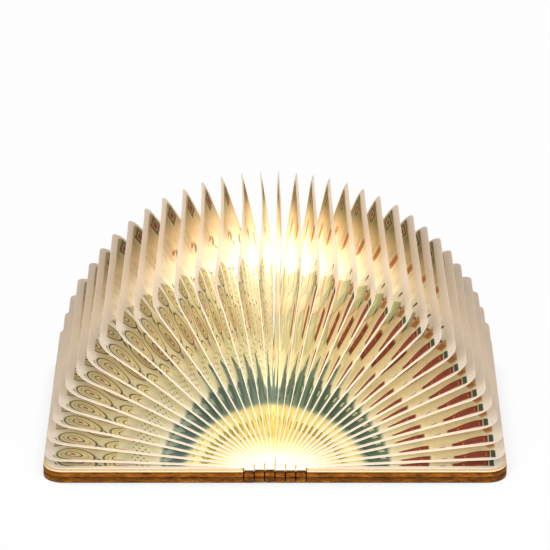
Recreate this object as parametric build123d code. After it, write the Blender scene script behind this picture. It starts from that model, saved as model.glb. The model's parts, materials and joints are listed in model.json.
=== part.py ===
from build123d import *
import os

# Folding book lamp, lying open and flat. Millimetres, +Z up, +Y towards the back edge.
# The origin is the centre of the underside. Two wooden covers and six narrow wooden slats
# are joined along seven fold lines, and a fan of printed pages stands on the slats.

# Covers and spine
book_depth = 122.0          # front edge to back edge
cover_width = 77.5          # fore-edge to the first fold line
cover_corner = 8.0
outer_ply = 2.4
inner_ply = 2.1
slat_count = 6
slat_pitch = 4.0
slat_gap = 0.5
slat_lift = {2: 0.3, 3: 0.3}        # two slats are glued a little high
underside_round = 0.5
seam_chamfer = 0.15
top_round = 0.25

# Linings on the covers
liner_thickness = 0.6
endpaper_thickness = 0.2
endpaper_side_inset = 1.2
paper_corner = 7.0

# Pages
page_length = 78.0
page_thickness = 0.15
page_inset = 2.0            # from the front and the back of the book
page_offsets = (-1.3, -0.9, -0.5, 0.5, 0.9, 1.3)    # across one slat
page_root = 2.2             # fold line of a page above the wood
lowest_root = 1.0           # the same at the outer side of the first and last slats
upright_page = 17
upright_angle = 88.4        # degrees from +X at rest
left_fan_step = 5.6
right_fan_step = 5.05

# Rails that hold the pages, and the light in them
rail_foot = 3.8
rail_top = 2.86
rail_gap = 0.12             # rail top to the page fold lines
rail_length = 118.0
slot_width = 0.72
slot_floor = 0.5
slot_end_wall = 1.2
lit_slats = (2, 3, 4, 5)
led_pitch = 6.0
led_size = (0.56, 1.2, 0.35)
flex_size = (0.64, 114.0, 0.12)

# Parts inside the left cover, and the magnets
pocket_in_outer_ply = 0.7   # how far the pockets reach below the inner ply
pocket_clearance = 0.4
battery_size = (50.0, 34.0, 2.5)
battery_centre = (-56.0, -8.0)
battery_corner = 2.0
battery_tab = (3.0, 26.0, 1.2)      # folded foil along one end
board_size = (24.0, 13.0, 0.6)
board_centre_x = -28.0
board_edge_gap = 3.4        # board to the back edge
board_notch_depth = 3.0     # the socket is sunk into the board
board_parts = (             # size, then place from the middle of the board
    ((4.0, 4.0, 0.9), (-6.5, -3.0)),        # charge controller
    ((3.0, 3.0, 1.2), (0.0, -3.5)),         # coil of the lamp driver
    ((2.9, 1.6, 1.0), (6.5, -4.0)),         # magnetic sensor
    ((1.6, 0.8, 0.5), (-7.5, 2.5)),         # small capacitors
    ((1.6, 0.8, 0.5), (7.5, 2.5)),
    ((4.4, 2.2, 1.3), (7.0, 0.0)))          # plug for the light strips
socket_size = (7.5, 5.6, 2.4)
socket_mouth = (6.9, 1.8)
socket_back_wall = 0.8
socket_edge_gap = 0.3       # mouth to the back edge
socket_tongue = (3.6, 3.2, 0.5)
socket_opening = (7.8, 12.0)        # the way out through the back edge
magnet_radius = 3.0
magnet_height = 1.7
magnet_clearance = 0.1
magnet_places = ((82.0, -48.0), (82.0, 48.0))

wood = outer_ply + inner_ply
half_depth = book_depth / 2
half_spine = slat_count * slat_pitch / 2
pocket_floor = outer_ply - pocket_in_outer_ply
page_depth = book_depth - 2 * page_inset
board_centre_y = half_depth - board_edge_gap - board_size[1] / 2


def export(shapes, name):
    export_step(Compound(children=shapes), f"parts/{name}.step")


def block(size, x, y, bottom):
    return Pos(x, y, bottom) * Box(*size, align=(Align.CENTER, Align.CENTER, Align.MIN))


def cover_plate(bottom, thickness, side_inset=0.0, end_inset=0.0, corner=cover_corner):
    # One layer of the right cover: its two fore-edge corners are rounded.
    inner_edge = half_spine + slat_gap / 2 + side_inset
    outer_edge = half_spine + cover_width - side_inset
    outline = Pos((inner_edge + outer_edge) / 2, 0) * Rectangle(
        outer_edge - inner_edge, book_depth - 2 * end_inset)
    outline = fillet(outline.vertices().group_by(Axis.X)[-1], corner)
    return Pos(0, 0, bottom) * extrude(outline, thickness)


def eased(plate, bottom_radius, seam_on_top):
    # Round one broad face's rim and chamfer the other, where the plies meet in a fine seam.
    rims = plate.edges().group_by(Axis.Z)
    round_rim, seam_rim = (rims[0], rims[-1]) if seam_on_top else (rims[-1], rims[0])
    plate = fillet(round_rim, bottom_radius)
    rims = plate.edges().group_by(Axis.Z)
    return chamfer(rims[-1] if seam_on_top else rims[0], seam_chamfer)


def two_plies(outer, inner):
    return (eased(outer, underside_round, seam_on_top=True),
            eased(inner, top_round, seam_on_top=False))


def magnet_cylinders(clearance=0.0):
    # Upright cylinders at both magnet places of the right cover, flush with the inner face
    # when they have their clearance.
    bottom = wood - magnet_height - magnet_clearance
    return [Pos(x, y, bottom) * Cylinder(magnet_radius + clearance, magnet_height + clearance,
            align=(Align.CENTER, Align.CENTER, Align.MIN)) for x, y in magnet_places]


def socket_shell(x, y, bottom):
    # A metal sleeve with its mouth at the back edge, and the contact tongue inside it.
    width, length, height = socket_size
    mouth_width, mouth_height = socket_mouth
    mouth_bottom = bottom + (height - mouth_height) / 2
    shell = block(socket_size, x, y, bottom)
    shell -= block((mouth_width, length - socket_back_wall, mouth_height),
                   x, y + socket_back_wall, mouth_bottom)
    tongue_y = y - length / 2 + socket_back_wall + socket_tongue[1] / 2
    tongue = block(socket_tongue, x, tongue_y, bottom + (height - socket_tongue[2]) / 2)
    return [shell, tongue]


def circuit_board():
    x, y = board_centre_x, board_centre_y
    notch_y = y + (board_size[1] - board_notch_depth) / 2
    notch = block((socket_size[0] + 0.2, board_notch_depth, wood), x, notch_y, 0)
    pieces = [block(board_size, x, y, pocket_floor) - notch]
    for size, (dx, dy) in board_parts:
        pieces.append(block(size, x + dx, y + dy, pocket_floor + board_size[2]))
    socket_y = half_depth - socket_edge_gap - socket_size[1] / 2
    return pieces + socket_shell(x, socket_y, pocket_floor + 0.1)


def board_pocket():
    x, y = board_centre_x, board_centre_y
    room = block((board_size[0] + 2 * pocket_clearance, board_size[1] + 2 * pocket_clearance, wood),
                 x, y, pocket_floor)
    way_out = block((*socket_opening, wood), x, half_depth - socket_opening[1] / 4, pocket_floor)
    return room + way_out


def battery_pocket():
    size = (battery_size[0] + 2 * pocket_clearance, battery_size[1] + 2 * pocket_clearance, wood)
    return block(size, *battery_centre, pocket_floor)


def make_covers():
    outer, inner = two_plies(cover_plate(0, outer_ply), cover_plate(outer_ply, inner_ply))
    for hole in magnet_cylinders(magnet_clearance):
        inner -= hole
    pockets = battery_pocket() + board_pocket()
    export([mirror(outer, about=Plane.YZ) - pockets], "left_cover_outer")
    export([mirror(inner, about=Plane.YZ) - pockets], "left_cover_inner")
    export([outer], "right_cover_outer")
    export([inner], "right_cover_inner")
    magnets = magnet_cylinders()
    export([mirror(magnet, about=Plane.YZ) for magnet in magnets], "left_magnets")
    export(magnets, "right_magnets")


def make_linings():
    liner = cover_plate(wood, liner_thickness, side_inset=0.15, end_inset=0.15)
    paper = cover_plate(wood + liner_thickness, endpaper_thickness,
                        endpaper_side_inset, page_inset, paper_corner)
    export([mirror(liner, about=Plane.YZ), mirror(paper, about=Plane.YZ)], "left_lining")
    export([liner, paper], "right_lining")


def make_electronics():
    cell = block(battery_size, *battery_centre, pocket_floor)
    cell = fillet(cell.edges().filter_by(Axis.Z), battery_corner)
    tab_x = battery_centre[0] + (battery_size[0] - battery_tab[0]) / 2
    tab = block(battery_tab, tab_x, battery_centre[1], pocket_floor)
    export([cell + tab], "battery")
    export(circuit_board(), "circuit_board")


def slat_centre(slat):
    return -half_spine + (slat - 0.5) * slat_pitch


def root_height(slat, offset):
    # Height of a page's fold line above the wood. It slopes on the first and last slats.
    reach = page_offsets[-1]
    slope = (page_root - lowest_root) / (2 * reach)
    if slat == 1:
        return page_root - slope * (reach - offset)
    if slat == slat_count:
        return page_root - slope * (reach + offset)
    return page_root


def slat_top(slat):
    return wood + slat_lift.get(slat, 0)


def make_slat(slat):
    x = slat_centre(slat)
    lift = slat_lift.get(slat, 0)
    width = slat_pitch - slat_gap
    outer = block((width, book_depth, outer_ply), x, 0, lift)
    inner = block((width, book_depth, inner_ply), x, 0, lift + outer_ply)
    export(two_plies(outer, inner), f"spine_slat_{slat}")


def make_rail(slat):
    # A tapered strip, as wide as the folding spine leaves room for, slotted for the light.
    left = root_height(slat, -rail_top / 2) - rail_gap
    right = root_height(slat, rail_top / 2) - rail_gap
    section = Polyline((-rail_foot / 2, 0), (rail_foot / 2, 0), (rail_top / 2, right),
                       (-rail_top / 2, left), close=True)
    rail = extrude(Plane.XZ * make_face(section), rail_length / 2, both=True)
    rail -= block((slot_width, rail_length - 2 * slot_end_wall, wood), 0, 0, slot_floor)
    export([Pos(slat_centre(slat), 0, slat_top(slat)) * rail], f"page_rail_{slat}")


def make_light(slat):
    x = slat_centre(slat)
    floor = slat_top(slat) + slot_floor
    strip = [block(flex_size, x, 0, floor)]
    count = int(flex_size[1] / led_pitch)
    for n in range(count):
        y = (n - (count - 1) / 2) * led_pitch
        strip.append(block(led_size, x, y, floor + flex_size[2]))
    export(strip, f"led_strip_{slat}")


def page_places():
    # Slat and offset of every page, from left to right. The first and last places
    # of all belong to the endpapers, which are glued down.
    places = [(slat, offset) for slat in range(1, slat_count + 1) for offset in page_offsets]
    return places[1:-1]


def page_angle(page):
    step = left_fan_step if page < upright_page else right_fan_step
    return upright_angle + step * (upright_page - page)


def page_fold(page):
    # X and Z of the line that a page turns about.
    slat, offset = page_places()[page - 1]
    return slat_centre(slat) + offset, slat_top(slat) + root_height(slat, offset)


def make_page(page):
    sheet = Pos(page_length / 2, 0) * Rectangle(page_length, page_depth)
    sheet = fillet(sheet.vertices().group_by(Axis.X)[-1], paper_corner)
    sheet = extrude(sheet, page_thickness / 2, both=True)
    folded_edge = Rot(90, 0, 0) * Cylinder(page_thickness / 2, page_depth)
    x, z = page_fold(page)
    placed = Pos(x, 0, z) * Rot(0, -page_angle(page), 0) * (sheet + folded_edge)
    export([placed], f"page_{page:02d}")


def main():
    os.makedirs("parts", exist_ok=True)
    make_covers()
    make_linings()
    make_electronics()
    for slat in range(1, slat_count + 1):
        make_slat(slat)
        make_rail(slat)
    for slat in lit_slats:
        make_light(slat)
    for page in range(1, len(page_places()) + 1):
        make_page(page)


main()
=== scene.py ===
import json
import math
import bpy
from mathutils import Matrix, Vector

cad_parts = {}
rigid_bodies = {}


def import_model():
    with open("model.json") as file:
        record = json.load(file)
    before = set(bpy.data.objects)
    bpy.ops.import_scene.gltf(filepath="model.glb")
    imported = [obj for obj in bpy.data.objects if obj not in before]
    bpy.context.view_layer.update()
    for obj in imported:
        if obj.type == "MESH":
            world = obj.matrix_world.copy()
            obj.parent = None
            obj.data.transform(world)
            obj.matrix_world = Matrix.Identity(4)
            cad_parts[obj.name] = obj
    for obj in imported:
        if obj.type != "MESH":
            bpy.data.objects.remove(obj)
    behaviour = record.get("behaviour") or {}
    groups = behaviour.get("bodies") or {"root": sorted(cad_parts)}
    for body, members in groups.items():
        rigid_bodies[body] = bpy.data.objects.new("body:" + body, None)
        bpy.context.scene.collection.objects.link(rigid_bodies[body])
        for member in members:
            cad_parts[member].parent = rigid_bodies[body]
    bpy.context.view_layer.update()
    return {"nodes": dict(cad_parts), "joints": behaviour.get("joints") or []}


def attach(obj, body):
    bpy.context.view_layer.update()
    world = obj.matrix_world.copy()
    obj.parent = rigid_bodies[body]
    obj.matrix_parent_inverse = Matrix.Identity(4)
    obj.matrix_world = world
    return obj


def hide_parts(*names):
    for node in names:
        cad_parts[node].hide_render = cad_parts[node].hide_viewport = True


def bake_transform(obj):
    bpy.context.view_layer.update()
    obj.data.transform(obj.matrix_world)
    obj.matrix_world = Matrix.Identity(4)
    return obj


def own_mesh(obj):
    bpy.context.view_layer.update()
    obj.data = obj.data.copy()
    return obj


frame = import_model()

mm = 0.001

# Folding book lamp: wooden covers and slats, a lit spine, and a fan of printed paper pages.


def linear(hexCode):
    # sRGB hex to the linear colour that nodes take
    parts = [int(hexCode[i:i + 2], 16) / 255 for i in (1, 3, 5)]
    return [c / 12.92 if c <= 0.04045 else ((c + 0.055) / 1.055) ** 2.4 for c in parts] + [1.0]


def addNode(tree, kind, inputs=None, stops=None, **settings):
    # One node with its settings and inputs. An input is a value, a socket, or a node (its first output), and
    # stops are the places and colours of a ramp.
    node = tree.nodes.new("ShaderNode" + kind)
    for name, value in settings.items():
        setattr(node, name, value)
    for name, value in (inputs or {}).items():
        if isinstance(value, bpy.types.Node):
            value = value.outputs[0]
        if isinstance(value, bpy.types.NodeSocket):
            tree.links.new(value, node.inputs[name])
        else:
            node.inputs[name].default_value = value
    if stops:
        ramp = node.color_ramp
        while len(ramp.elements) < len(stops):
            ramp.elements.new(1.0)
        while len(ramp.elements) > len(stops):
            ramp.elements.remove(ramp.elements[-1])
        for element, (place, colour) in zip(ramp.elements, stops):
            element.position = place
            element.color = linear(colour) if isinstance(colour, str) else [colour] * 3 + [1.0]
    return node


def newMaterial(name, base="#808080", roughness=0.5, **sockets):
    material = bpy.data.materials.new(name)
    material.use_nodes = True
    shader = material.node_tree.nodes["Principled BSDF"]
    shader.inputs["Base Color"].default_value = linear(base)
    shader.inputs["Roughness"].default_value = roughness
    for socket, value in sockets.items():
        shader.inputs[socket.replace("_", " ")].default_value = value
    return material, material.node_tree, shader


def dress(node, material):
    # A carried-over solid keeps its mesh and takes a material.
    solid = frame["nodes"][node]
    solid.data.materials.clear()
    solid.data.materials.append(material)


# Camera, lamps, world and floor. Lengths are in metres.
studio = {
    "lens": 265.1, "sensor": 36, "away": 1.4744, "height": 0.6621, "pitch": 22.16, "seesAsFarAs": 50,
    "keyPlace": (-0.8, -1.8, 0.9), "keySize": 1.0, "keyPower": 25,
    "fillPlace": (0.8, -1.8, 0.9), "fillSize": 1.0, "fillPower": 25,
    "ambient": 0.36,
    "floorColour": "#F4F3F1", "floorSize": 9.0, "floorRoughness": 0.9, "floorBrightness": 0.97,
    # painted shadow on the floor, from ambient occlusion
    "paintedShadowReach": 0.02, "paintedShadowOpenness": (0.1, 0.6),      # the floor darkens this near to a piece
}


def directlySeen(tree):
    # 1 where the camera sees the surface, also in a mirror or through glass, and 0 where it only gives light
    path = addNode(tree, "LightPath")
    seen = addNode(tree, "Math", {0: path.outputs["Is Camera Ray"], 1: path.outputs["Is Glossy Ray"]},
                   operation="MAXIMUM")
    return addNode(tree, "Math", {0: seen, 1: path.outputs["Is Transmission Ray"]}, operation="MAXIMUM")


def makeCamera():
    camera = bpy.data.objects.new("camera", bpy.data.cameras.new("camera"))
    camera.data.lens = studio["lens"]
    camera.data.sensor_width = studio["sensor"]
    camera.data.clip_end = studio["seesAsFarAs"]
    camera.location = (0, -studio["away"], studio["height"])
    camera.rotation_euler = (math.radians(90 - studio["pitch"]), 0, 0)
    bpy.context.scene.collection.objects.link(camera)
    bpy.context.scene.camera = camera


def makeLamps():
    for name in ("key", "fill"):
        lamp = bpy.data.lights.new(name, "AREA")
        lamp.shape = "DISK"
        lamp.size = studio[name + "Size"]
        lamp.energy = studio[name + "Power"]
        holder = bpy.data.objects.new(name, lamp)
        holder.location = studio[name + "Place"]
        holder.rotation_euler = (-Vector(studio[name + "Place"])).to_track_quat("-Z", "Y").to_euler()
        bpy.context.scene.collection.objects.link(holder)


def makeWorld():
    world = bpy.data.worlds.new("studio")
    bpy.context.scene.world = world
    world.use_nodes = True
    tree = world.node_tree
    tree.nodes.clear()
    level = addNode(tree, "MapRange", {"Value": directlySeen(tree), "To Min": studio["ambient"], "To Max": 1.0})
    background = addNode(tree, "Background", {"Color": (1, 1, 1, 1), "Strength": level})
    addNode(tree, "OutputWorld", {"Surface": background})


def makeFloor():
    bpy.ops.mesh.primitive_plane_add(size=studio["floorSize"], location=(0, 0, 0))
    floor = bpy.context.object
    floor.name = "floor"
    # painted board: the camera sees it almost white, with a painted contact shadow from ambient occlusion near
    # the pieces and only a trace of the lamps' own shadow
    material, tree, shader = newMaterial("paintedBoard", studio["floorColour"], studio["floorRoughness"])
    lift = addNode(tree, "Math", {0: directlySeen(tree), 1: studio["floorBrightness"]}, operation="MULTIPLY")
    # painted shadow: the floor's emission for the camera is weaker where ambient occlusion finds a piece close
    # by
    openness = addNode(tree, "AmbientOcclusion", {"Distance": studio["paintedShadowReach"]}, samples=8).outputs["AO"]
    hidden, clear = studio["paintedShadowOpenness"]
    shade = addNode(tree, "MapRange", {"Value": openness, "From Min": hidden, "From Max": clear})
    glow = addNode(tree, "Emission", {"Color": (1, 1, 1, 1), "Strength": shade})
    mixed = addNode(tree, "MixShader", {0: lift, 1: shader, 2: glow})
    tree.links.new(mixed.outputs[0], tree.nodes["Material Output"].inputs["Surface"])
    floor.data.materials.append(material)


makeCamera()
makeLamps()
makeWorld()
makeFloor()
print("stage and camera")

# Wood. Lengths are in millimetres, and heights are above the table.
wood = {
    "slats": 6, "raisedSlats": (2, 3), "raisedBy": 0.3, "seam": 2.4,
    "innerPly": [(0.0, "#2E1604"), (0.3, "#64350A"), (0.6, "#8F5210"), (1.0, "#B27024")],
    "outerPly": [(0.0, "#281405"), (0.4, "#522F0D"), (0.7, "#744612"), (1.0, "#9A6820")],
    "roughness": 0.55, "gloss": 0.07,
    "grainSize": (3.0, 32.0, 0.45),     # one streak: across the book, along its depth, and in height
    "grainDetail": 4.0, "grainRoughness": 0.62, "grainBend": 0.25, "grainContrast": (0.3, 0.68),
    "cloudStretch": (0.4, 0.5, 0.25), "cloudShare": 0.4,    # broader, softer streaks mixed in
    "reliefStrength": 0.25, "relief": 0.05,
    # how dark the edge is, from the table up: lighter at the bottom, a painted highlight; dark at the seam
    # between the plies; darker at the top, partly laser char and partly painted shade
    "burnAndPaintedLight": [(0.0, 1.0), (0.1, 0.72), (0.45, 0.46), (0.52, 0.24), (0.56, 0.5), (0.74, 0.58), (0.88, 0.42),
             (1.0, 0.16)],
    "edgeRampHeight": 4.5, "edgeRampLift": 1.7,     # the lift brightens all of it
}


def woodMaterial(name, raisedBy):
    # Walnut plywood, cut by laser and lacquered: grain along the spine, so that the front edge shows its
    # short ends, a darker outer ply, and edges shaded by height: partly laser char, partly painted highlight
    # and shade.
    material, tree, shader = newMaterial(name, roughness=wood["roughness"], Specular_IOR_Level=wood["gloss"])
    place = addNode(tree, "TexCoord").outputs["Object"]
    each = [1 / (size * mm) for size in wood["grainSize"]]
    stretched = addNode(tree, "Mapping", {"Vector": place, "Scale": each})
    streaks = addNode(tree, "TexNoise", {"Vector": stretched, "Scale": 1.0, "Detail": wood["grainDetail"],
                                         "Roughness": wood["grainRoughness"], "Distortion": wood["grainBend"]})
    broader = [scale * share for scale, share in zip(each, wood["cloudStretch"])]
    broad = addNode(tree, "Mapping", {"Vector": place, "Scale": broader})
    clouds = addNode(tree, "TexNoise", {"Vector": broad, "Scale": 1.0, "Detail": 2.0})
    grain = addNode(tree, "Mix", {"Factor": wood["cloudShare"], "A": streaks, "B": clouds}, data_type="FLOAT")
    dark, pale = wood["grainContrast"]
    grain = addNode(tree, "MapRange", {"Value": grain, "From Min": dark, "From Max": pale})
    inner = addNode(tree, "ValToRGB", {"Fac": grain}, stops=wood["innerPly"])
    outer = addNode(tree, "ValToRGB", {"Fac": grain}, stops=wood["outerPly"])
    height = addNode(tree, "SeparateXYZ", {"Vector": place}).outputs["Z"]
    ply = addNode(tree, "Math", {0: height, 1: (wood["seam"] + raisedBy) * mm}, operation="GREATER_THAN")
    colour = addNode(tree, "Mix", {"Factor": ply, "A": outer, "B": inner}, data_type="RGBA")
    # painted light: a ramp by height lightens the bottom of the edge as a painted highlight and darkens its
    # top, partly as painted shade
    level = addNode(tree, "MapRange", {"Value": height, "From Min": raisedBy * mm,
                                       "From Max": (wood["edgeRampHeight"] + raisedBy) * mm})
    burnAndPaintedLight = addNode(tree, "ValToRGB", {"Fac": level}, stops=wood["burnAndPaintedLight"])
    burnAndPaintedLight = addNode(tree, "Math", {0: burnAndPaintedLight, 1: wood["edgeRampLift"]}, operation="MULTIPLY")
    burnAndPaintedLightColour = addNode(tree, "VectorMath", {0: colour.outputs["Result"], "Scale": burnAndPaintedLight}, operation="SCALE")
    tree.links.new(burnAndPaintedLightColour.outputs["Vector"], shader.inputs["Base Color"])
    bump = addNode(tree, "Bump", {"Height": grain, "Strength": wood["reliefStrength"],
                                  "Distance": wood["relief"] * mm})
    tree.links.new(bump.outputs[0], shader.inputs["Normal"])
    return material


def dressWood():
    plain = woodMaterial("lacqueredWalnutPly", 0.0)
    raised = woodMaterial("lacqueredWalnutPlyRaised", wood["raisedBy"])
    for side in ("left", "right"):
        dress(side + "_cover_outer", plain)
        dress(side + "_cover_inner", plain)
    for slat in range(1, wood["slats"] + 1):
        dress(f"spine_slat_{slat}", raised if slat in wood["raisedSlats"] else plain)


dressWood()
print("wood")

# Printed paper. Lengths are in millimetres.
page = {
    "count": 34, "length": 78.0, "depth": 118.0, "thickness": 0.15, "corner": 7.0, "frontMargin": 1.9,
    "unit": 120.0,                  # mm that one unit of the pages' UV map stands for
    "alongSteps": 26, "deepSteps": 30, "cornerSteps": 8,
    "white": "#F7EDE0", "roughness": 0.78, "gloss": 0.25, "seeThrough": 0.22,
    # the painted light in the paper: its colours, where a bright glow begins and ends to wash the print out,
    # and the gamma that makes the print paler in it
    "warm": "#FFEFDA", "bright": "#FFFBF0", "washOut": (0.45, 1.1), "paler": 0.62,
}
# How the ornaments are drawn
drawing = {
    "slant": 0.45,                  # mm of band for each mm of depth
    "reach": 135.0,                 # mm that the bands run over
    "wander": 8.0, "wanderAlong": 16.0, "wanderDeep": 40.0,
    "darkBand": (27.0, 31.0), "pointsSettleAt": 76.0, "pointPower": 1.5,
    "inkEdge": 0.06, "spanEdge": 0.5, "someEdge": 0.02,     # how softly a figure ends
    "washSize": 6.0, "washContrast": (0.3, 0.7), "washTone": (0.84, 1.08),
    "marginEdge": 0.15,
}
# Two generic ornaments, one for each side of a sheet. Slanted bands follow one another from the root's
# front end, with a pointed edge that rises every few centimetres of depth, and figures stand on them
# in staggered rows. A figure's place is given from the root and from the front edge, its span is in
# bands, and its inks run from its middle (0) to its outline (1). Some stand only between two depths.
leftPrint = {
    "bands": [(0, "#FFF8EA"), (8, "#F8EFCC"), (14, "#F0E6B0"), (22, "#F7F0C4"), (25.5, "#F1EABC"),
              (27, "#86A298"), (31.5, "#759188"), (33, "#F8F4E2"), (35, "#DCDEC2"), (50, "#DADBBC"),
              (61, "#D0CCA4"), (72, "#DED6AE"), (82, "#FFFBF0"), (97, "#FBF4E2"), (109, "#EADCB6"),
              (119, "#BFAE80")],
    "peak": 16.0, "peakEvery": 56.0, "peakAt": 20.0, "foreMargin": 3.0, "printCorner": 4.5,
    "figures": [
        {"shape": "lozenge", "at": (16, 4), "every": (8, 24), "half": (2.6, 3.0), "turn": 0.3,
         "span": (11, 24), "inks": [(0, "#C4BC6C"), (0.5, "#AAAA68")]},
        {"shape": "lozenge", "at": (31, 4), "every": (12, 44), "half": (6.5, 9.0), "turn": 0.15,
         "span": (27.5, 33), "inks": [(0, "#A4B8AA"), (0.3, "#668078"), (0.75, "#527068")]},
        {"shape": "oval", "at": (38.5, 1.5), "every": (2.6, 5.2), "half": (0.5, 0.5), "span": (36, 41),
         "inks": [(0, "#6F6334")]},
        {"shape": "lozenge", "at": (51, 3.5), "every": (20, 20), "half": (6.0, 0.55), "turn": 0.13,
         "span": (42, 62), "inks": [(0, "#C4573C")]},
        {"shape": "oval", "at": (66, 5), "every": (17, 26), "half": (7.2, 5.6), "span": (48, 86),
         "inks": [(0, "#A8492E"), (0.13, "#DCD2A0"), (0.34, "#5B5A34"), (0.42, "#D8CE9C"), (0.62, "#B5AC76"),
                  (0.68, "#D8CE9C"), (0.88, "#4F4F2E")]},
        {"shape": "lozenge", "at": (57.5, 3), "every": (17, 26), "half": (2.4, 0.8), "turn": 0.9,
         "span": (46, 86), "inks": [(0, "#55542F")]},
        {"shape": "lozenge", "at": (58, 60), "every": (7, 40), "half": (1.6, 9.0),
         "span": (97, 107), "some": 0.5, "inks": [(0, "#C4704C")]},
        {"shape": "lozenge", "at": (55, 60), "every": (7, 40), "half": (1.4, 8.0),
         "span": (98, 106), "some": 0.48, "inks": [(0, "#94968E")]},
        {"shape": "block", "at": (71, 108), "every": (18, 32), "half": (3.4, 6.0), "span": (113, 200),
         "inks": [(0, "#8E4230"), (0.45, "#C9A868"), (0.6, "#5E5644"), (0.8, "#7A6A44")]},
    ],
}
rightPrint = {
    "bands": [(0, "#FFF8E8"), (8, "#F8EDC6"), (14, "#F0E3AA"), (22, "#F6EDBE"), (25.5, "#F0E6B4"),
              (27, "#8AA48C"), (31.5, "#708C76"), (33, "#F6F0D8"), (35, "#EADDB4"), (50, "#E5D6AC"),
              (64, "#DECDA2"), (74, "#E8D8B0"), (83, "#FFFAEC"), (98, "#F8EED2"), (108, "#DFCDA0"),
              (116, "#A4966A"), (122, "#7C7450")],
    "peak": 17.0, "peakEvery": 52.0, "peakAt": 18.0, "foreMargin": 3.8, "printCorner": 0.8,
    "figures": [
        {"shape": "lozenge", "at": (15, 5), "every": (9, 24), "half": (2.6, 3.0), "turn": -0.3,
         "span": (11, 24), "inks": [(0, "#D8B25C"), (0.5, "#BCAE64")]},
        {"shape": "lozenge", "at": (31, 5), "every": (13, 44), "half": (7.0, 9.0), "turn": -0.15,
         "span": (27.5, 33), "inks": [(0, "#DCDCB0"), (0.18, "#5E7864"), (0.8, "#456050")]},
        {"shape": "lozenge", "at": (54, 62), "every": (24, 60), "half": (12, 20), "turn": 0.1,
         "span": (42, 82), "depths": (14, 130),
         "inks": [(0, "#D0D0A0"), (0.5, "#B4BE92"), (0.88, "#C49A6A")]},
        {"shape": "block", "at": (42, 2.6), "every": (24, 28), "half": (7.0, 3.2), "turn": 0.06,
         "span": (35.5, 80), "depths": (0, 22),
         "inks": [(0, "#8A3A28"), (0.45, "#A85A40"), (0.55, "#7E3122")]},
        {"shape": "block", "at": (76, 3.2), "every": (48, 28), "half": (4.8, 3.4), "turn": -0.06,
         "span": (60, 90), "depths": (0, 30),
         "inks": [(0, "#8A3A28"), (0.3, "#E0D0A0"), (0.42, "#3E4F3E"), (0.92, "#E0D0A0")]},
        {"shape": "lozenge", "at": (54, 2.6), "every": (24, 28), "half": (2.8, 1.1), "turn": 0.5,
         "span": (40, 84), "inks": [(0, "#4F5F4A")]},
        {"shape": "lozenge", "at": (60, 40), "every": (22, 56), "half": (5.0, 5.0), "turn": -0.3,
         "span": (74, 108), "inks": [(0, "#BC7C48"), (0.6, "#D2A468")]},
        {"shape": "block", "at": (71, 108), "every": (18, 34), "half": (3.4, 7.0), "span": (110, 200),
         "inks": [(0, "#A4523A"), (0.3, "#C8B478"), (0.5, "#5E5B3A"), (0.75, "#B4A364")]},
    ],
}


def figureDistance(tree, place, figure):
    # How far a point is from the nearest figure of two staggered rows: 0 in its middle, 1 on its outline.
    every, half, at = figure["every"], figure["half"], figure["at"]
    cellHigh = (every[0] / 2, every[1] / 2, 1)
    cellLow = (-every[0] / 2, -every[1] / 2, -1)
    found = []
    for shift in (0.0, 0.5):
        offset = (shift * every[0] - at[0], shift * every[1] - at[1], 0)
        moved = addNode(tree, "VectorMath", {0: place, 1: offset}, operation="ADD")
        cell = addNode(tree, "VectorMath", {0: moved, 1: cellHigh, 2: cellLow}, operation="WRAP")
        local = addNode(tree, "Mapping", {"Vector": cell, "Rotation": (0, 0, figure.get("turn", 0.0)),
                                          "Scale": (*half, 1)}, vector_type="TEXTURE")
        if figure["shape"] == "oval":
            found.append(addNode(tree, "VectorMath", {0: local}, operation="LENGTH").outputs["Value"])
            continue
        folded = addNode(tree, "VectorMath", {0: local}, operation="ABSOLUTE")
        if figure["shape"] == "lozenge":
            sides = addNode(tree, "VectorMath", {0: folded, 1: (1, 1, 0)}, operation="DOT_PRODUCT")
            found.append(sides.outputs["Value"])
        else:
            sides = addNode(tree, "SeparateXYZ", {0: folded}).outputs
            found.append(addNode(tree, "Math", {0: sides["X"], 1: sides["Y"]}, operation="MAXIMUM"))
    return addNode(tree, "Math", {0: found[0], 1: found[1]}, operation="MINIMUM")


def printFigures(tree, colour, place, band, depth, wander, figure):
    # A figure's inks over the colours below them, only where its span is, or only on some of that.
    d = drawing
    distance = figureDistance(tree, place, figure)
    inks = addNode(tree, "ValToRGB", {"Fac": distance}, stops=figure["inks"])
    inks.color_ramp.interpolation = "CONSTANT"
    cover = addNode(tree, "MapRange", {"Value": distance, "From Min": 1 + d["inkEdge"],
                                       "From Max": 1 - d["inkEdge"]})
    limits = [(band, figure["span"][0], d["spanEdge"]), (band, figure["span"][1], -d["spanEdge"])]
    if "depths" in figure:
        limits += [(depth, figure["depths"][0], d["spanEdge"]), (depth, figure["depths"][1], -d["spanEdge"])]
    if "some" in figure:
        limits.append((wander.outputs["Fac"], figure["some"], d["someEdge"]))
    for value, edge, soft in limits:
        inside = addNode(tree, "MapRange", {"Value": value, "From Min": edge - soft, "From Max": edge + soft})
        cover = addNode(tree, "Math", {0: cover, 1: inside}, operation="MULTIPLY")
    return addNode(tree, "Mix", {"Factor": cover, "A": colour, "B": inks.outputs["Color"]},
                   data_type="RGBA").outputs["Result"]


def handDrawn(tree, flat):
    # Lines wander by up to 2 mm, over 16 mm along the sheet and 40 mm of its depth, as if drawn by hand.
    d = drawing
    loose = addNode(tree, "Mapping", {"Vector": flat, "Scale": (1 / d["wanderAlong"], 1 / d["wanderDeep"], 1)})
    wander = addNode(tree, "TexNoise", {"Vector": loose, "Scale": 1.0, "Detail": 0.0})
    shifted = addNode(tree, "VectorMath", {0: wander.outputs["Color"], 1: (0.5, 0.5, 0.5)},
                      operation="SUBTRACT")
    drawn = addNode(tree, "VectorMath", {0: shifted, 1: (d["wander"], d["wander"], 0), 2: flat},
                    operation="MULTIPLY_ADD")
    return wander, drawn


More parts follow.
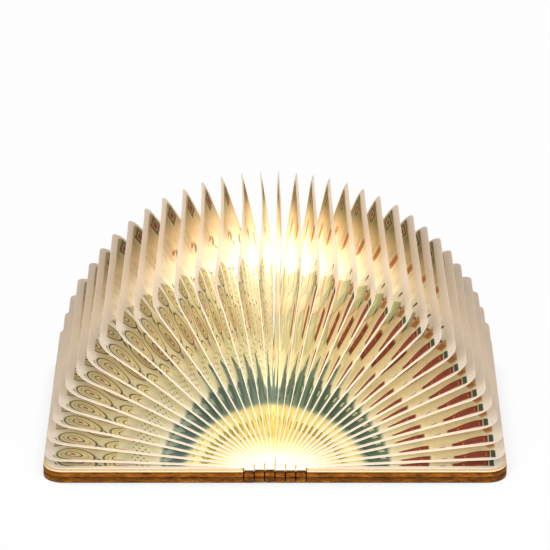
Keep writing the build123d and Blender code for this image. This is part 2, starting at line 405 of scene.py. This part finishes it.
def withPoints(tree, band, depth, art):
    # The dark band's outer edge rises to a point every few centimetres, and the bands behind it settle again.
    every, darkStart, darkEnd = art["peakEvery"], *drawing["darkBand"]
    peak = addNode(tree, "Math", {0: depth, 1: every / 2 - art["peakAt"]}, operation="ADD")
    peak = addNode(tree, "Math", {0: peak, 1: every / 2}, operation="PINGPONG")
    peak = addNode(tree, "Math", {0: peak, 1: 2 / every}, operation="MULTIPLY")
    peak = addNode(tree, "Math", {0: peak, 1: drawing["pointPower"]}, operation="POWER")
    top = darkEnd + art["peak"]
    rise = addNode(tree, "MapRange", {"Value": band, "From Min": darkStart, "From Max": top,
                                      "To Max": -art["peak"]})
    settle = addNode(tree, "MapRange", {"Value": band, "From Min": top, "From Max": drawing["pointsSettleAt"],
                                        "To Min": 1.0, "To Max": 0.0})
    rise = addNode(tree, "Math", {0: rise, 1: settle}, operation="MULTIPLY")
    return addNode(tree, "Math", {0: peak, 1: rise, 2: band}, operation="MULTIPLY_ADD")


def printColour(tree, art):
    # Colour of the printed side, from the piece's own UV map, worked out in millimetres.
    d = drawing
    uv = addNode(tree, "UVMap", uv_map="page")
    flat = addNode(tree, "Mapping", {"Vector": uv, "Scale": (page["unit"], page["unit"], 1)})
    wander, drawn = handDrawn(tree, flat)
    # the band a point lies in: its distance from the front end of the root, across the slanted bands
    band = addNode(tree, "VectorMath", {0: drawn, 1: (1, d["slant"], 0)}, operation="DOT_PRODUCT")
    band = band.outputs["Value"]
    depth = addNode(tree, "SeparateXYZ", {0: drawn}).outputs["Y"]
    pointed = withPoints(tree, band, depth, art)
    share = addNode(tree, "Math", {0: pointed, 1: 1 / d["reach"]}, operation="MULTIPLY")
    stops = [(at / d["reach"], ink) for at, ink in art["bands"]]
    bands = addNode(tree, "ValToRGB", {"Fac": share}, stops=stops)
    colour = bands.outputs["Color"]
    for figure in art["figures"]:
        colour = printFigures(tree, colour, drawn, pointed, depth, wander, figure)
    # washes of ink a few millimetres wide, and in them a mottle for the print's dots, which are 0.1 mm and
    # too fine to show
    washes = addNode(tree, "TexNoise", {"Vector": flat, "Scale": 1 / d["washSize"], "Detail": 4.0,
                                        "Roughness": 0.6})
    mottle = addNode(tree, "MapRange", {"Value": washes, "From Min": d["washContrast"][0],
                                        "From Max": d["washContrast"][1], "To Min": d["washTone"][0],
                                        "To Max": d["washTone"][1]})
    tone = addNode(tree, "VectorMath", {0: colour, "Scale": mottle}, operation="SCALE")
    return flat, tone.outputs["Vector"]


def insidePrint(tree, flat, art):
    # 1 inside the printed rectangle, 0 on the white margins
    corner, edge = art["printCorner"], drawing["marginEdge"]
    half = page["depth"] / 2 - page["frontMargin"] - corner
    reach = page["length"] - art["foreMargin"] - corner
    centred = addNode(tree, "VectorMath", {0: flat, 1: (0, page["depth"] / 2, 0)}, operation="SUBTRACT")
    folded = addNode(tree, "VectorMath", {0: centred}, operation="ABSOLUTE")
    over = addNode(tree, "VectorMath", {0: folded, 1: (reach, half, 0)}, operation="SUBTRACT")
    over = addNode(tree, "VectorMath", {0: over, 1: (0, 0, 0)}, operation="MAXIMUM")
    off = addNode(tree, "VectorMath", {0: over}, operation="LENGTH")
    return addNode(tree, "MapRange", {"Value": off.outputs["Value"], "From Min": corner + edge,
                                      "From Max": corner - edge})


def paintedLightInPaper(tree, shader, colour):
    # Painted light: the spine's light in the paper, given as emission. The piece's attribute "glow" says how
    # much, and a bright glow washes the print out.
    glow = addNode(tree, "Attribute", attribute_name="glow", attribute_type="GEOMETRY")
    low, high = page["washOut"]
    washed = addNode(tree, "MapRange", {"Value": glow.outputs["Fac"], "From Min": low, "From Max": high})
    paler = addNode(tree, "Gamma", {"Color": colour, "Gamma": page["paler"]})
    tinted = addNode(tree, "Mix", {"Factor": 1.0, "A": paler, "B": linear(page["warm"])},
                     data_type="RGBA", blend_type="MULTIPLY")
    shone = addNode(tree, "Mix", {"Factor": washed, "A": tinted.outputs["Result"], "B": linear(page["bright"])},
                    data_type="RGBA")
    tree.links.new(shone.outputs["Result"], shader.inputs["Emission Color"])
    tree.links.new(glow.outputs["Fac"], shader.inputs["Emission Strength"])


def paperMaterial(name, art=None):
    # Uncoated offset paper, printed on both sides: matt and a little see-through, with the spine's light
    # painted into it as a glow. The cut edges have neither print nor painted light.
    material, tree, shader = newMaterial(name, page["white"], page["roughness"],
                                         Specular_IOR_Level=page["gloss"])
    white = linear(page["white"])
    colour = white
    if art:
        flat, printed = printColour(tree, art)
        inside = insidePrint(tree, flat, art)
        colour = addNode(tree, "Mix", {"Factor": inside, "A": white, "B": printed}, data_type="RGBA")
        colour = colour.outputs["Result"]
        tree.links.new(colour, shader.inputs["Base Color"])
        paintedLightInPaper(tree, shader, colour)
    back = addNode(tree, "BsdfTranslucent", {"Color": colour})
    both = addNode(tree, "MixShader", {0: page["seeThrough"], 1: shader, 2: back})
    tree.links.new(both.outputs[0], tree.nodes["Material Output"].inputs["Surface"])
    return material


paperLeft = paperMaterial("offsetPaperLeftPrint", leftPrint)
paperRight = paperMaterial("offsetPaperRightPrint", rightPrint)
paperEdge = paperMaterial("offsetPaperCutEdge")


def activate(piece):
    bpy.ops.object.select_all(action="DESELECT")
    piece.select_set(True)
    bpy.context.view_layer.objects.active = piece


def flatSheet(name, length, depth, corner, steps):
    # A flat sheet from x = 0 to length with its two far corners rounded, cut into a grid.
    bpy.ops.object.select_all(action="DESELECT")
    bpy.ops.mesh.primitive_plane_add(size=1, location=(0, 0, 0))
    sheet = bpy.context.object
    sheet.name = name
    bpy.ops.object.mode_set(mode="EDIT")
    bpy.ops.mesh.select_all(action="SELECT")
    bpy.ops.transform.translate(value=(0.5, 0, 0))
    bpy.ops.transform.resize(value=(length * mm, depth * mm, 1), center_override=(0, 0, 0))
    bpy.ops.mesh.select_all(action="DESELECT")
    bpy.ops.object.mode_set(mode="OBJECT")
    for vertex in sheet.data.vertices:
        vertex.select = vertex.co.x > length * mm / 2
    bpy.ops.object.mode_set(mode="EDIT")
    bpy.ops.mesh.bevel(offset=corner * mm, offset_pct=0, segments=page["cornerSteps"], affect="VERTICES")
    for step in range(1, steps[0]):
        bpy.ops.mesh.select_all(action="SELECT")
        bpy.ops.mesh.bisect(plane_co=(length * mm * step / steps[0], 0, 0), plane_no=(1, 0, 0))
    for step in range(1, steps[1]):
        bpy.ops.mesh.select_all(action="SELECT")
        bpy.ops.mesh.bisect(plane_co=(0, depth * mm * (step / steps[1] - 0.5), 0), plane_no=(0, 1, 0))
    bpy.ops.mesh.select_all(action="DESELECT")
    bpy.ops.object.mode_set(mode="OBJECT")
    return sheet


def mapInMillimetres(sheet):
    # UV map: distance from the root, and distance from the front edge
    uv = sheet.data.uv_layers.active or sheet.data.uv_layers.new()
    uv.name = "page"
    for loop in sheet.data.loops:
        co = sheet.data.vertices[loop.vertex_index].co
        uv.data[loop.index].uv = (co.x / mm / page["unit"], (co.y / mm + page["depth"] / 2) / page["unit"])


def thicken(sheet, thickness, edgeSlot):
    activate(sheet)
    solid = sheet.modifiers.new("thickness", "SOLIDIFY")
    solid.thickness = thickness * mm
    solid.offset = 0
    solid.material_offset = 1
    solid.material_offset_rim = edgeSlot
    bpy.ops.object.modifier_apply(modifier=solid.name)


# The fan of pages. Lengths are in millimetres, and angles in degrees from the upright, apart from
# uprightAngle, which is from +X.
fan = {
    "upright": 17, "uprightAngle": 88.4, "leftStep": 5.6, "rightStep": 5.05,
    # the back tips of the steep pages curl towards the middle, and the front corners spread
    "lean": 1.7, "leanUntil": 48.0, "leanFrom": 0.1,
    "flareLeft": 3.2, "flareRight": 2.0, "flareAngle": 52.0, "flareWidth": 17.0, "flareFade": 1.6,
    "belly": 0.4, "bellyMean": 0.6, "bellyTurn": 2.4,       # bow between root and tip, unlike from page to page
    # the steep pages sway to the right at the back, the upright one at its front, and the next one to the left
    "sway": 2.4, "swayAngle": 8.0, "swayWidth": 20.0, "uprightSway": 1.1, "nextSway": -1.5,
    "arch": 1.5, "archWidth": 16.0,         # the fore-edge of a steep page arches to the right
    "tipDrop": 1.8,                         # the back tips sink on the left, and rise on the right
    # the roots spread evenly over the slat, a little way above their folds
    "seat": (0.37, 0.1, -0.17, 0.17, -0.1, -0.37), "seatRise": 4.0, "seatFade": 40.0,
    # a sheet is thicker at its root, where it is folded round a hem that reaches down to its rail
    "rootThickness": 0.5, "rootFull": 2.0, "rootLength": 9.0, "hem": 0.12, "hemLength": 2.0,
    "uneven": 0.04,                         # how far a sheet stands before or behind its neighbours
    "keep": 0.12,                           # what is left of the bow when the book is shut
    "creaseAngle": 40.0,                    # shading is smooth up to this angle
}
# How brightly the spine's painted light shows in the paper. Places are in mm from the root, slanted as the
# bands are, apart from the rim's.
light = {
    "root": 0.35, "rootLength": 7.0, "rootAtSides": 0.4,
    "body": 0.2,
    "inner": 0.38, "innerAngle": 44.0, "innerLow": 0.6, "innerRise": (14, 36), "innerFall": (84, 110),
    "middle": 0.17, "middleAngle": 36.0, "middleRise": (52, 82), "middleFall": (92, 108),
    "rim": (62, 76), "rimLoss": 0.75,               # the tips get less of the light
    "frontShare": 0.5, "frontDepth": 45.0,          # the front edges get less of the light
    "backSlope": 1.25, "backStart": 12.0,           # near the back edge the light fades as at the front
}


def pageFold(number):
    # Where a page is hinged: the middle of its joint's axis, from the frame
    joint = next(j for j in frame["joints"] if j["child"] == f"leaf_{number:02d}")
    return Vector(joint["pos_m"])


def pageAngle(number):
    step = fan["leftStep"] if number < fan["upright"] else fan["rightStep"]
    return math.radians(fan["uprightAngle"] + step * (fan["upright"] - number))


def fromUpright(number):
    return math.degrees(pageAngle(number)) - 90         # positive on the left


def smooth(value, low, high):
    # 0 up to low, 1 from high, and a soft step between them
    share = min(1.0, max(0.0, (value - low) / (high - low)))
    return share * share * (3 - 2 * share)


def bell(value, middle, width):
    return math.exp(-((value - middle) / width) ** 2)


def swing(number, back):
    # How far a page sways to the right, by how near to the back (1) or front (0) the point is.
    if number == fan["upright"]:
        return fan["uprightSway"] * (1 - back)
    if number == fan["upright"] + 1:
        return fan["nextSway"] * back
    return fan["sway"] * bell(fromUpright(number), fan["swayAngle"], fan["swayWidth"]) * back


def bow(number, along, deep):
    # How far a point of the page stands off its flat shape, mm, towards the page's left-print side.
    angle = fromUpright(number)
    side = 1 if angle > 0 else -1
    steep = math.sin(math.pi * min(abs(angle), fan["leanUntil"]) / fan["leanUntil"])
    outer, back = along / page["length"], min(1.0, deep / page["depth"])
    lean = fan["lean"] * steep * smooth(back, fan["leanFrom"], 1.0)
    most = fan["flareLeft"] if side > 0 else fan["flareRight"]
    flare = most * bell(abs(angle), fan["flareAngle"], fan["flareWidth"]) * (1 - back) ** fan["flareFade"]
    wave = fan["belly"] * (fan["bellyMean"] + math.sin(fan["bellyTurn"] * number)) * math.sin(math.pi * outer)
    arch = fan["arch"] * bell(angle, fan["swayAngle"], fan["archWidth"]) * outer ** 2 * math.sin(math.pi * back)
    sway = swing(number, back) * math.sin(math.pi * outer) + arch
    seat = fan["seat"][number % len(fan["seat"])] * math.sin(min(1, along / fan["seatRise"]) * math.pi / 2)
    spread = -seat * math.exp(-along / fan["seatFade"])
    drop = fan["tipDrop"] * math.sin(math.radians(abs(angle))) * outer * back
    return side * ((lean - flare) * outer ** 2 + wave * outer) + sway + spread - drop


def halfThickness(along):
    # Half of the sheet's thickness, with the hem that it is folded round near its root
    extra = fan["rootThickness"] * (1 - smooth(along, fan["rootFull"], fan["rootLength"]))
    return (page["thickness"] + extra) / 2


def glowAt(number, along, deep):
    # The painted glow of a point of a page: from its root, over its body, and the brightest in the middle of
    # the fan
    angle, slant = fromUpright(number), drawing["slant"]
    nearEnd = min(deep, light["backSlope"] * (page["depth"] - deep) + light["backStart"])
    slanted = along + slant * nearEnd
    middle = bell(angle, 0, light["middleAngle"])
    root = light["root"] * bell(slanted, 0, light["rootLength"])
    root *= light["rootAtSides"] + (1 - light["rootAtSides"]) * middle
    bright = smooth(slanted, *light["middleRise"]) * (1 - smooth(along + slant * deep, *light["middleFall"]))
    inner = bell(angle, 0, light["innerAngle"]) * (1 - smooth(slanted, *light["innerFall"]))
    inner *= light["innerLow"] + (1 - light["innerLow"]) * smooth(slanted, *light["innerRise"])
    deeper = light["frontShare"] + (1 - light["frontShare"]) * smooth(deep, 0, light["frontDepth"])
    rim = 1 - light["rimLoss"] * smooth(along, *light["rim"])
    body = (light["body"] + light["inner"] * inner * deeper) * rim
    return root + body + light["middle"] * middle * bright * deeper


def makePages():
    template = flatSheet("pageTemplate", page["length"], page["depth"], page["corner"],
                         (page["alongSteps"], page["deepSteps"]))
    mapInMillimetres(template)
    for material in (paperLeft, paperRight, paperEdge):
        template.data.materials.append(material)
    thicken(template, page["thickness"], 2)
    for number in range(1, page["count"] + 1):
        sheet = template.copy()
        sheet.data = template.data.copy()
        sheet.name = f"printed_page_{number:02d}"
        bpy.context.scene.collection.objects.link(sheet)
        angle, root = pageAngle(number), pageFold(number)
        out = Vector((math.cos(angle), 0, math.sin(angle)))
        normal = Vector((math.sin(angle), 0, -math.cos(angle)))
        uneven = fan["uneven"] * (number % 3 - 1) * mm
        # painted light: the spine's glow in the paper, baked into each point
        glow = sheet.data.attributes.new("glow", "FLOAT", "POINT")
        for vertex in sheet.data.vertices:
            along, deep = vertex.co.x / mm, vertex.co.y / mm + page["depth"] / 2
            glow.data[vertex.index].value = glowAt(number, along, deep)
            face = 1 if vertex.co.z > 0 else -1
            off = (face * halfThickness(along) + bow(number, along, deep)) * mm
            hem = fan["hem"] * max(0.0, 1 - along / fan["hemLength"]) * mm
            vertex.co = root + out * (vertex.co.x - hem) + normal * off + Vector((0, vertex.co.y + uneven, 0))
        activate(sheet)
        bpy.ops.object.shade_smooth_by_angle(angle=math.radians(fan["creaseAngle"]))
        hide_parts(f"page_{number:02d}")
        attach(sheet, f"leaf_{number:02d}")
        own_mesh(sheet)
    bpy.data.objects.remove(template)


makePages()
print("pages")

# Linings on the covers. Lengths are in millimetres.
lining = {
    "coverInner": 12.25, "coverOuter": 89.5, "coverDepth": 122.0, "woodTop": 4.5,
    "boardThickness": 0.6, "boardInset": 0.15, "boardCorner": 7.85, "boardSteps": (2, 2),
    "paperThickness": 0.2, "paperSideInset": 1.2, "paperCorner": 7.0, "paperSteps": (12, 12),
    "colour": "#F2DDB6", "fibreSize": 0.6, "fibre": [(0.3, "#E0C392"), (0.7, "#F1D8AE")],
    "reliefStrength": 0.3, "relief": 0.03,
    # the endpapers get the pages' painted glow
    "shade": 4.0,               # the endpapers are as bright as the first page this far out
}


def linerMaterial():
    # Greyboard covered with cream paper: matt, with fine fibre
    material, tree, shader = newMaterial("creamLinerBoard", lining["colour"], 0.85, Specular_IOR_Level=0.2)
    place = addNode(tree, "TexCoord").outputs["Object"]
    fibre = addNode(tree, "TexNoise", {"Vector": place, "Scale": 1 / (lining["fibreSize"] * mm), "Detail": 3.0})
    tint = addNode(tree, "ValToRGB", {"Fac": fibre}, stops=lining["fibre"])
    tree.links.new(tint.outputs["Color"], shader.inputs["Base Color"])
    bump = addNode(tree, "Bump", {"Height": fibre, "Strength": lining["reliefStrength"],
                                  "Distance": lining["relief"] * mm})
    tree.links.new(bump.outputs[0], shader.inputs["Normal"])
    return material


def placeOnCover(sheet, side, start, top):
    # From the flat template to its place: mirrored for the left cover, with faces still outwards.
    activate(sheet)
    bpy.ops.object.mode_set(mode="EDIT")
    bpy.ops.mesh.select_all(action="SELECT")
    bpy.ops.transform.translate(value=(start * mm, 0, top * mm))
    if side == "left":
        bpy.ops.transform.resize(value=(-1, 1, 1), center_override=(0, 0, 0))
        bpy.ops.mesh.flip_normals()
    bpy.ops.mesh.select_all(action="DESELECT")
    bpy.ops.object.mode_set(mode="OBJECT")


def makeLinerBoard(side, material):
    inset, thickness = lining["boardInset"], lining["boardThickness"]
    width = lining["coverOuter"] - lining["coverInner"] - 2 * inset
    liner = flatSheet(side + "_liner_board", width, lining["coverDepth"] - 2 * inset, lining["boardCorner"],
                      lining["boardSteps"])
    liner.data.materials.append(material)
    thicken(liner, thickness, 0)
    placeOnCover(liner, side, lining["coverInner"] + inset, lining["woodTop"] + thickness / 2)
    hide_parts(side + "_lining")
    return liner


def makeEndpaper(side, art):
    inset, thickness = lining["paperSideInset"], lining["paperThickness"]
    start = lining["coverInner"] + inset
    width = lining["coverOuter"] - lining["coverInner"] - 2 * inset
    hidden = page["length"] - width         # what a page has more, at its root
    paper = flatSheet(side + "_endpaper", width, page["depth"], lining["paperCorner"], lining["paperSteps"])
    mapInMillimetres(paper)
    for loop in paper.data.uv_layers["page"].data:
        loop.uv.x += hidden / page["unit"]
    paper.data.materials.append(art)
    paper.data.materials.append(paperEdge)
    thicken(paper, thickness, 1)
    placeOnCover(paper, side, start, lining["woodTop"] + lining["boardThickness"] + thickness / 2)
    # painted light in the endpaper, as in the pages
    glow = paper.data.attributes.new("glow", "FLOAT", "POINT")
    for vertex in paper.data.vertices:
        along = abs(vertex.co.x) / mm - start + hidden
        glow.data[vertex.index].value = glowAt(1, along + lining["shade"], 0)
    return paper


def makeLinings():
    board = linerMaterial()
    for side, art in (("left", paperLeft), ("right", paperRight)):
        for piece in (makeLinerBoard(side, board), makeEndpaper(side, art)):
            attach(piece, side + "_cover")


makeLinings()
print("linings")

# Spine: rails, lights and cloth. Lengths are in millimetres.
spine = {
    # the rails' glow is painted light; the LEDs are the lamps
    "railColour": "#FFF4DC", "railLight": "#FFF3DA", "railPaintedGlow": 0.2, "railCloudSize": 1.5, "railClouds": 0.1,
    "litSlats": (2, 3, 4, 5), "ledColour": "#FFF3D0", "ledLight": "#FFF0D2", "ledGlow": 1.4, "ledsAbove": 5.2,
    "clothWidth": 0.66, "clothLength": 119.0, "clothThickness": 0.1, "clothTop": 4.5, "clothSag": 0.25,
    "clothSteps": (8, 24), "clothColour": "#B98F52", "clothThreads": [(0.2, "#8E6A38"), (0.8, "#CDA768")],
    "threadSize": 1.775,        # real threads are about 0.4 mm, too fine to show
}


def dressRails():
    # Opal acrylic, cast and milled. The whole strip shines with painted light, an emission that stands in for
    # the light from the slot.
    opal, tree, shader = newMaterial("opalAcrylic", spine["railColour"], 0.45)
    shader.inputs["Emission Color"].default_value = linear(spine["railLight"])
    place = addNode(tree, "TexCoord").outputs["Object"]
    frost = addNode(tree, "TexNoise", {"Vector": place, "Scale": 1 / (spine["railCloudSize"] * mm),
                                       "Detail": 2.0})
    # painted light: the rail glows though it is no lamp
    level = addNode(tree, "MapRange", {"Value": frost, "To Min": spine["railPaintedGlow"] * (1 - spine["railClouds"]),
                                       "To Max": spine["railPaintedGlow"] * (1 + spine["railClouds"])})
    tree.links.new(level.outputs[0], shader.inputs["Emission Strength"])
    for slat in range(1, wood["slats"] + 1):
        dress(f"page_rail_{slat}", opal)


def dressLights():
    # Light strips: flexible board below, warm white LEDs in clear resin above it
    strip, tree, shader = newMaterial("ledStripWarmWhite", spine["ledColour"], 0.35)
    shader.inputs["Emission Color"].default_value = linear(spine["ledLight"])
    place = addNode(tree, "TexCoord").outputs["Object"]
    height = addNode(tree, "SeparateXYZ", {"Vector": place}).outputs["Z"]
    isLight = addNode(tree, "Math", {0: height, 1: spine["ledsAbove"] * mm}, operation="GREATER_THAN")
    level = addNode(tree, "Math", {0: isLight, 1: spine["ledGlow"]}, operation="MULTIPLY")
    tree.links.new(level.outputs[0], shader.inputs["Emission Strength"])
    for slat in spine["litSlats"]:
        dress(f"led_strip_{slat}", strip)


def clothMaterial():
    # Woven cotton, dyed brown: matt, with a soft sheen, and ribs across the tape
    cloth, tree, shader = newMaterial("wovenCottonTape", spine["clothColour"], 0.9, Sheen_Weight=0.3)
    place = addNode(tree, "TexCoord").outputs["Object"]
    rib = math.pi / 10 / (spine["threadSize"] * mm)         # the texture's scale for one rib in that length
    threads = addNode(tree, "TexWave", {"Vector": place, "Scale": rib, "Distortion": 0.4}, bands_direction="Y")
    tint = addNode(tree, "ValToRGB", {"Fac": threads.outputs["Fac"]}, stops=spine["clothThreads"])
    tree.links.new(tint.outputs["Color"], shader.inputs["Base Color"])
    return cloth


def makeTapes():
    # A tape across each fold line, in the gap between two slats. It sags a little, and climbs to a raised slat.
    cloth = clothMaterial()
    raised = {f"spine_{slat}": wood["raisedBy"] for slat in wood["raisedSlats"]}
    half, top = spine["clothWidth"] * mm / 2, spine["clothTop"]
    for joint in frame["joints"]:
        if not joint["name"].startswith("spine_fold_"):
            continue
        x = joint["pos_m"][0]
        across, deep = spine["clothSteps"]
        bpy.ops.object.select_all(action="DESELECT")
        bpy.ops.mesh.primitive_grid_add(x_subdivisions=across, y_subdivisions=deep, size=1, location=(0, 0, 0))
        tape = bpy.context.object
        tape.name = joint["name"].replace("fold", "tape")
        bpy.ops.object.mode_set(mode="EDIT")
        bpy.ops.mesh.select_all(action="SELECT")
        bpy.ops.transform.resize(value=(2 * half, spine["clothLength"] * mm, 1))
        bpy.ops.transform.translate(value=(x, 0, (top - spine["clothThickness"]) * mm))
        bpy.ops.object.mode_set(mode="OBJECT")
        low, high = raised.get(joint["parent"], 0), raised.get(joint["child"], 0)
        for vertex in tape.data.vertices:
            share = (vertex.co.x - x) / half
            climb = low + (high - low) * (share + 1) / 2
            vertex.co.z += (climb - spine["clothSag"] * (1 - share * share)) * mm
        tape.data.materials.append(cloth)
        thicken(tape, spine["clothThickness"], 0)
        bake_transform(tape)


dressRails()
dressLights()
makeTapes()
print("spine")

# Parts inside the covers. Lengths are in millimetres.
insideParts = {
    "nickel": "#C9C6BE", "rubSize": 0.8, "rub": (0.16, 0.34),
    "foil": "#BFC1C4", "creaseSize": 5.0, "crease": 0.2, "creaseStrength": 0.4,
    "solderMask": "#1F5A33", "socketShell": "#B9BBBD", "shellBehind": 55.2,
}


def dressMagnets():
    # Nickel-plated neodymium: a mirror finish, rubbed duller in places
    nickel, tree, shader = newMaterial("nickelPlate", insideParts["nickel"], 0.22, Metallic=1.0)
    place = addNode(tree, "TexCoord").outputs["Object"]
    rub = addNode(tree, "TexNoise", {"Vector": place, "Scale": 1 / (insideParts["rubSize"] * mm)})
    glossy, dull = insideParts["rub"]
    level = addNode(tree, "MapRange", {"Value": rub, "To Min": glossy, "To Max": dull})
    tree.links.new(level.outputs[0], shader.inputs["Roughness"])
    dress("left_magnets", nickel)
    dress("right_magnets", nickel)


def dressCell():
    # Aluminium laminate pouch: bright foil with soft creases
    pouch, tree, shader = newMaterial("aluminiumPouch", insideParts["foil"], 0.35, Metallic=0.9)
    place = addNode(tree, "TexCoord").outputs["Object"]
    creases = addNode(tree, "TexNoise", {"Vector": place, "Scale": 1 / (insideParts["creaseSize"] * mm),
                                         "Detail": 3.0})
    bump = addNode(tree, "Bump", {"Height": creases, "Strength": insideParts["creaseStrength"],
                                  "Distance": insideParts["crease"] * mm})
    tree.links.new(bump.outputs[0], shader.inputs["Normal"])
    dress("battery", pouch)


def dressBoard():
    # Glossy green solder mask, and the socket's tinned steel shell near the back edge
    board, tree, shader = newMaterial("solderMaskBoard", insideParts["solderMask"], 0.35)
    place = addNode(tree, "TexCoord").outputs["Object"]
    deep = addNode(tree, "SeparateXYZ", {"Vector": place}).outputs["Y"]
    isShell = addNode(tree, "Math", {0: deep, 1: insideParts["shellBehind"] * mm}, operation="GREATER_THAN")
    tint = addNode(tree, "Mix", {"Factor": isShell, "A": linear(insideParts["solderMask"]),
                                 "B": linear(insideParts["socketShell"])}, data_type="RGBA")
    tree.links.new(tint.outputs["Result"], shader.inputs["Base Color"])
    tree.links.new(isShell.outputs[0], shader.inputs["Metallic"])
    dress("circuit_board", board)


dressMagnets()
dressCell()
dressBoard()
print("inside parts")

bpy.context.scene.view_settings.view_transform = "Standard"
